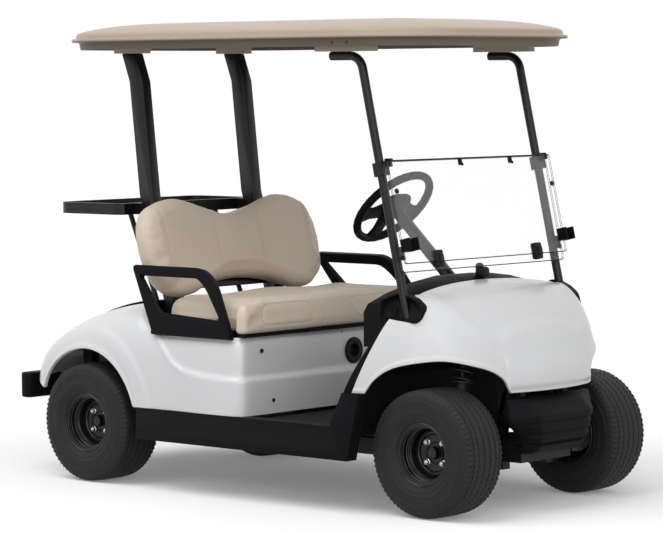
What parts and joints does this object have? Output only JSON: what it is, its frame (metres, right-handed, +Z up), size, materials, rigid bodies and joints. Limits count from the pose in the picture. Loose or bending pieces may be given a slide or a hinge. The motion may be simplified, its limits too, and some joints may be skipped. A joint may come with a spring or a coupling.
{
  "type": "golf cart",
  "caption": "Electric golf cart with a bench seat, fixed sun top, fold-down windshield, bag deck and rack, steered front wheels and smooth-rolling low tyres.",
  "frame": {"origin": "on the ground under the middle of the cart's outer box", "axes": "+X forward, +Y to the driver's left, +Z up"},
  "size_m": [2.388, 1.2, 1.7699],
  "materials": {
    "tyre": "low-sheen moulded rubber",
    "wheel_black": "semi-gloss black paint",
    "chassis_steel": "satin black paint",
    "bare_steel": "dull bare steel",
    "spring_steel": "satin dark coating",
    "alloy": "cast, matt",
    "battery_case": "matt moulded",
    "black_plastic": "fine-grained black",
    "body_white": "gloss white",
    "seat_vinyl": "soft grained vinyl",
    "strut_black": "semi-gloss black powder coat",
    "roof_beige": "fine-textured beige",
    "clear_pane": "clear sheet"
  },
  "bodies": {
    "chassis": {"front_springs": "spring_steel", "frame": "chassis_steel", "front_suspension": "chassis_steel", "rear_axle": "chassis_steel", "motor": "alloy", "rear_dampers": "spring_steel", "battery_pack": "battery_case", "floor_pan": "black_plastic", "sills": "black_plastic", "front_cowl": "body_white", "dash": "black_plastic", "front_bumper": "black_plastic", "rear_body": "body_white", "pod_panel": "body_white", "charge_socket": "black_plastic", "seat_back": "seat_vinyl", "hip_restraints": "black_plastic", "rear_struts": "strut_black", "front_struts": "strut_black", "roof": "roof_beige", "roof_brackets": "roof_beige", "bag_rack": "black_plastic", "bag_deck": "black_plastic", "rear_bumper": "black_plastic", "windshield_lower": "clear_pane", "steering_column": "strut_black", "pedals": "black_plastic"},
    "knuckle_left": {"knuckle_left": "chassis_steel"},
    "knuckle_right": {"knuckle_right": "chassis_steel"},
    "wheel_front_left": {"tyre_front_left": "tyre", "rim_front_left": "wheel_black"},
    "wheel_front_right": {"tyre_front_right": "tyre", "rim_front_right": "wheel_black"},
    "wheel_rear_left": {"tyre_rear_left": "tyre", "rim_rear_left": "wheel_black"},
    "wheel_rear_right": {"tyre_rear_right": "tyre", "rim_rear_right": "wheel_black"},
    "rack": {"steering_rack": "bare_steel"},
    "tie_rod_left": {"tie_rod_left": "bare_steel"},
    "tie_rod_right": {"tie_rod_right": "bare_steel"},
    "steering_wheel": {"steering_wheel": "black_plastic"},
    "windshield": {"windshield_upper": "clear_pane", "windshield_latches": "black_plastic"},
    "seat": {"seat_cushion": "seat_vinyl", "seat_pan": "black_plastic"}
  },
  "joints": [
    {"name": "knuckle_left_steer", "type": "hinge", "parent": "chassis", "child": "knuckle_left", "pos_m": [0.945, 0.333, 0.175], "axis": [0, -0.1564, 0.9877], "range_deg": [-28, 28]},
    {"name": "knuckle_right_steer", "type": "hinge", "parent": "chassis", "child": "knuckle_right", "pos_m": [0.945, -0.333, 0.175], "axis": [0, 0.1564, 0.9877], "range_deg": [-28, 28]},
    {"name": "wheel_front_left_spin", "type": "hinge", "parent": "knuckle_left", "child": "wheel_front_left", "pos_m": [0.945, 0.425, 0.229], "axis": [0, 1, 0], "continuous": true},
    {"name": "wheel_front_right_spin", "type": "hinge", "parent": "knuckle_right", "child": "wheel_front_right", "pos_m": [0.945, -0.425, 0.229], "axis": [0, 1, 0], "continuous": true},
    {"name": "wheel_rear_left_spin", "type": "hinge", "parent": "chassis", "child": "wheel_rear_left", "pos_m": [-0.695, 0.48, 0.229], "axis": [0, 1, 0], "continuous": true},
    {"name": "wheel_rear_right_spin", "type": "hinge", "parent": "chassis", "child": "wheel_rear_right", "pos_m": [-0.695, -0.48, 0.229], "axis": [0, 1, 0], "continuous": true},
    {"name": "steering_wheel_turn", "type": "hinge", "parent": "chassis", "child": "steering_wheel", "pos_m": [0.148, 0.28, 1.052], "axis": [-0.7325, 0, 0.6807], "range_deg": [-336, 336]},
    {"name": "rack_slide", "type": "slide", "parent": "chassis", "child": "rack", "axis": [0, 1, 0], "range_m": [-0.0518, 0.0518]},
    {"name": "tie_rod_left_pivot", "type": "hinge", "parent": "knuckle_left", "child": "tie_rod_left", "pos_m": [0.835, 0.295, 0.264], "axis": [0, -0.1564, 0.9877], "range_deg": [-28, 28]},
    {"name": "tie_rod_right_pivot", "type": "hinge", "parent": "knuckle_right", "child": "tie_rod_right", "pos_m": [0.835, -0.295, 0.264], "axis": [0, 0.1564, 0.9877], "range_deg": [-28, 28]},
    {"name": "windshield_fold", "type": "hinge", "parent": "chassis", "child": "windshield", "pos_m": [0.74506, 0, 1.25966], "axis": [0, -1, 0], "range_deg": [0, 180]},
    {"name": "seat_tilt", "type": "hinge", "parent": "chassis", "child": "seat", "pos_m": [0.145, 0, 0.606], "axis": [0, 1, 0], "range_deg": [0, 42]}
  ],
  "couplings": [
    {"joint": "knuckle_right_steer", "follows": "knuckle_left_steer", "ratio": 1},
    {"joint": "steering_wheel_turn", "follows": "knuckle_left_steer", "ratio": 12},
    {"joint": "rack_slide", "follows": "knuckle_left_steer", "m_per_rad": -0.10567},
    {"joint": "tie_rod_left_pivot", "follows": "knuckle_left_steer", "ratio": -1},
    {"joint": "tie_rod_right_pivot", "follows": "knuckle_left_steer", "ratio": -1}
  ]
}
